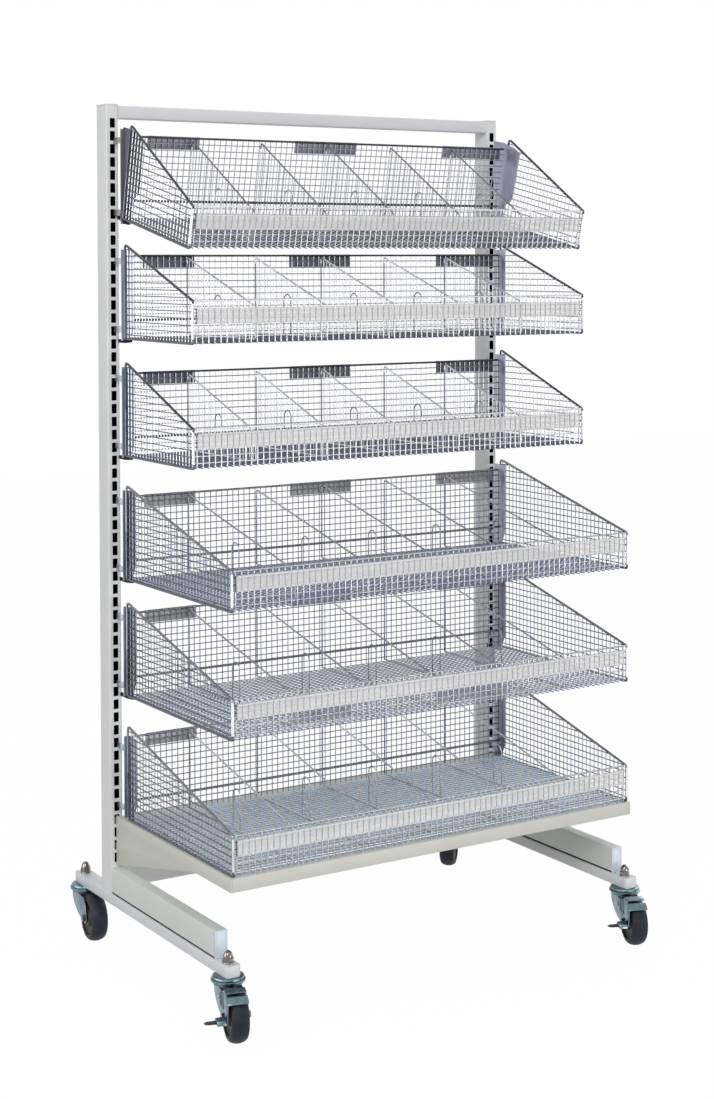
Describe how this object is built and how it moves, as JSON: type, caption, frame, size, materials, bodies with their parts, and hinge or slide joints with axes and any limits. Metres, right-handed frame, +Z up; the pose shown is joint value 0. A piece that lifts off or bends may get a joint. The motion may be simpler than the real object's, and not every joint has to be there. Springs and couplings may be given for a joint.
{
  "type": "mobile basket storage unit",
  "caption": "Free-standing retail rack on casters: slotted uprights carry sloped wire baskets with dividers and price strips over a base shelf; the top basket tilts.",
  "frame": {"origin": "middle of the footprint's box, on the floor", "axes": "+Z up, -Y towards the front of the baskets, +X to the right as seen from the front"},
  "size_m": [1.011, 0.7278, 1.6502],
  "materials": {
    "ivory_paint": "smooth ivory powder coat",
    "white_paint": "smooth cool white powder coat",
    "cap_plastic": "pale blue-grey moulded plastic",
    "zinc_sheet": "zinc-plated sheet, lilac-grey",
    "zinc_wire": "bright zinc-plated wire",
    "strip_plastic": "translucent pale plastic",
    "zinc_fork": "bluish zinc-plated pressing",
    "bright_steel": "polished plated steel",
    "tyre_rubber": "dark moulded rubber",
    "brake_steel": "dark plated steel"
  },
  "bodies": {
    "frame": {"left_upright": "ivory_paint", "left_upright_cap": "ivory_paint", "left_leg": "ivory_paint", "left_leg_end_cap": "cap_plastic", "left_caster_bar": "white_paint", "right_upright": "ivory_paint", "right_upright_cap": "ivory_paint", "right_leg": "ivory_paint", "right_leg_end_cap": "cap_plastic", "right_caster_bar": "white_paint", "top_beam": "ivory_paint", "rear_cross_beam": "ivory_paint", "base_shelf": "ivory_paint", "right_shelf_bracket": "ivory_paint", "left_shelf_bracket": "ivory_paint", "basket_1_right_bracket": "zinc_sheet", "basket_1_left_bracket": "zinc_sheet", "basket_2": "zinc_wire", "price_strip_2": "strip_plastic", "basket_2_right_bracket": "zinc_sheet", "basket_2_left_bracket": "zinc_sheet", "basket_3": "zinc_wire", "price_strip_3": "strip_plastic", "basket_3_right_bracket": "zinc_sheet", "basket_3_left_bracket": "zinc_sheet", "basket_4": "zinc_wire", "price_strip_4": "strip_plastic", "basket_4_right_bracket": "zinc_sheet", "basket_4_left_bracket": "zinc_sheet", "basket_5": "zinc_wire", "price_strip_5": "strip_plastic", "basket_5_right_bracket": "zinc_sheet", "basket_5_left_bracket": "zinc_sheet", "basket_6": "zinc_wire", "price_strip_6": "strip_plastic", "basket_6_right_bracket": "zinc_sheet", "basket_6_left_bracket": "zinc_sheet", "front_left_kingpin": "bright_steel", "front_right_kingpin": "bright_steel", "rear_left_kingpin": "bright_steel", "rear_right_kingpin": "bright_steel"},
    "tilt_basket": {"basket_1": "zinc_wire", "price_strip_1": "strip_plastic"},
    "front_left_fork_body": {"front_left_fork": "zinc_fork", "front_left_axle": "bright_steel"},
    "front_left_wheel_body": {"front_left_wheel": "tyre_rubber"},
    "front_left_brake_body": {"front_left_brake_lever": "brake_steel"},
    "front_right_fork_body": {"front_right_fork": "zinc_fork", "front_right_axle": "bright_steel"},
    "front_right_wheel_body": {"front_right_wheel": "tyre_rubber"},
    "front_right_brake_body": {"front_right_brake_lever": "brake_steel"},
    "rear_left_fork_body": {"rear_left_fork": "zinc_fork", "rear_left_axle": "bright_steel"},
    "rear_left_wheel_body": {"rear_left_wheel": "tyre_rubber"},
    "rear_right_fork_body": {"rear_right_fork": "zinc_fork", "rear_right_axle": "bright_steel"},
    "rear_right_wheel_body": {"rear_right_wheel": "tyre_rubber"}
  },
  "joints": [
    {"name": "basket_tilt", "type": "hinge", "parent": "frame", "child": "tilt_basket", "pos_m": [0.02653, 0.14829, 1.433], "axis": [1, 0, 0], "range_deg": [-12, 12]},
    {"name": "front_left_swivel", "type": "hinge", "parent": "frame", "child": "front_left_fork_body", "pos_m": [-0.42347, -0.26371, 0.0881], "axis": [0, 0, 1], "continuous": true},
    {"name": "front_left_roll", "type": "hinge", "parent": "front_left_fork_body", "child": "front_left_wheel_body", "pos_m": [-0.43771, -0.31683, 0.046], "axis": [0.9659, -0.2588, 0], "continuous": true},
    {"name": "front_left_brake", "type": "hinge", "parent": "front_left_fork_body", "child": "front_left_brake_body", "pos_m": [-0.43072, -0.29075, 0.072], "axis": [0.9659, -0.2588, 0], "range_deg": [0, 6]},
    {"name": "front_right_swivel", "type": "hinge", "parent": "frame", "child": "front_right_fork_body", "pos_m": [0.47653, -0.26371, 0.0881], "axis": [0, 0, 1], "continuous": true},
    {"name": "front_right_roll", "type": "hinge", "parent": "front_right_fork_body", "child": "front_right_wheel_body", "pos_m": [0.45682, -0.31505, 0.046], "axis": [0.9336, -0.3584, 0], "continuous": true},
    {"name": "front_right_brake", "type": "hinge", "parent": "front_right_fork_body", "child": "front_right_brake_body", "pos_m": [0.46649, -0.28985, 0.072], "axis": [0.9336, -0.3584, 0], "range_deg": [0, 6]},
    {"name": "rear_left_swivel", "type": "hinge", "parent": "frame", "child": "rear_left_fork_body", "pos_m": [-0.42347, 0.33529, 0.0881], "axis": [0, 0, 1], "continuous": true},
    {"name": "rear_left_roll", "type": "hinge", "parent": "rear_left_fork_body", "child": "rear_left_wheel_body", "pos_m": [-0.43018, 0.2807, 0.046], "axis": [0.9925, -0.1219, 0], "continuous": true},
    {"name": "rear_right_swivel", "type": "hinge", "parent": "frame", "child": "rear_right_fork_body", "pos_m": [0.47653, 0.33529, 0.0881], "axis": [0, 0, 1], "continuous": true},
    {"name": "rear_right_roll", "type": "hinge", "parent": "rear_right_fork_body", "child": "rear_right_wheel_body", "pos_m": [0.43902, 0.29507, 0.046], "axis": [0.7314, -0.682, 0], "continuous": true}
  ]
}
